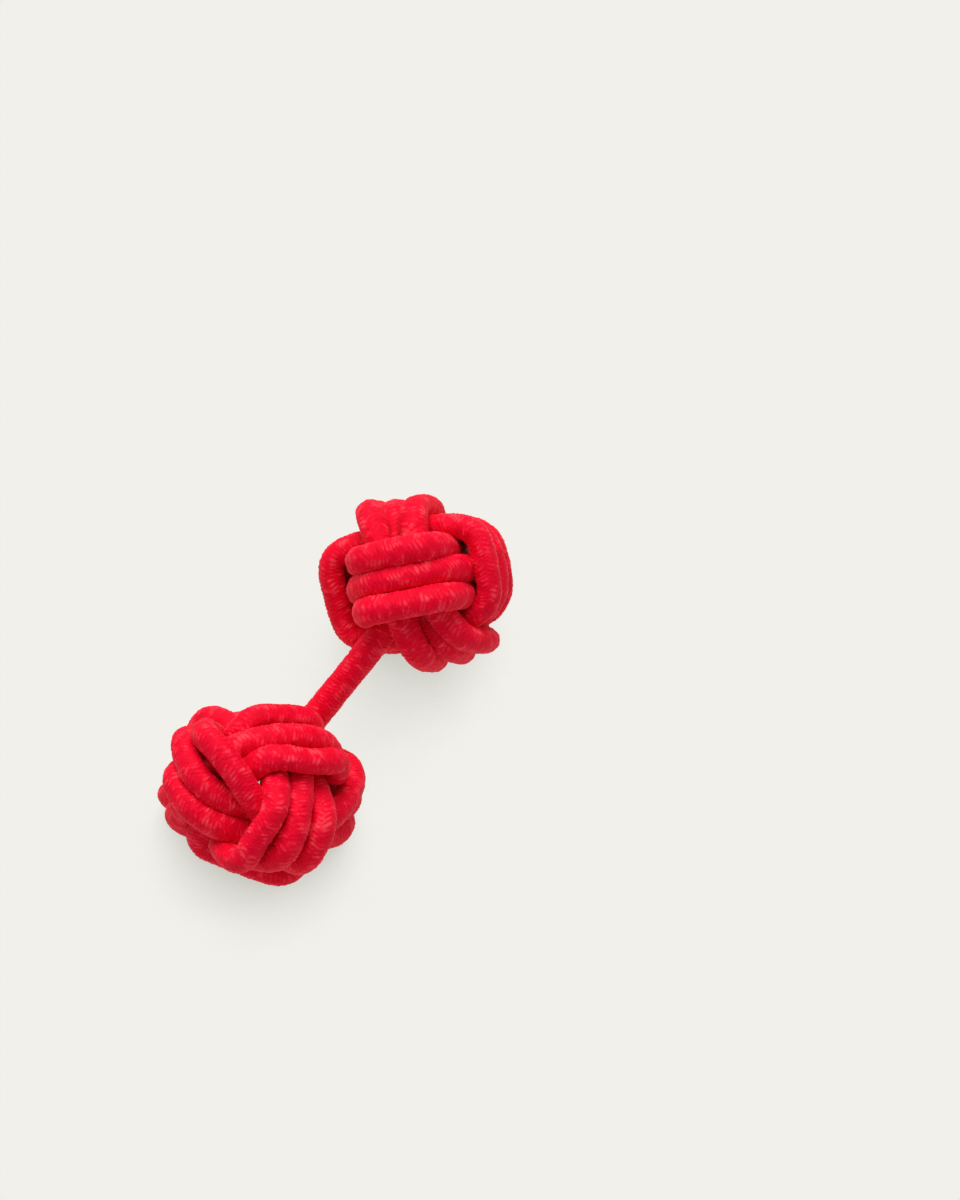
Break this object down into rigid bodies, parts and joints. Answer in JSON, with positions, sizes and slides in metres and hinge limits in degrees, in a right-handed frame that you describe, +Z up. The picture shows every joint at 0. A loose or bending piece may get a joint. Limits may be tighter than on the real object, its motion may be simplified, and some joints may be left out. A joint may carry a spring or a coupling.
{
  "type": "silk knot cuff button",
  "caption": "Silk knot cuff button: a ball-shaped knot of braided cord at each end of a short cord, worn through a shirt cuff's buttonholes.",
  "frame": {"origin": "middle of the bounding box, on the surface that the cuff button lies on", "axes": "+X along the link from the near knot to the far knot, +Z up"},
  "size_m": [0.0304, 0.014, 0.0154],
  "materials": {
    "red_braid": "fluffy crosswise-ribbed braid with a soft silky sheen"
  },
  "bodies": {
    "root": {"near_knot_first_wrap": "red_braid", "near_knot_second_wrap": "red_braid", "near_knot_third_wrap": "red_braid", "far_knot_first_wrap": "red_braid", "far_knot_second_wrap": "red_braid", "far_knot_third_wrap": "red_braid", "link_cord": "red_braid"}
  },
  "joints": []
}
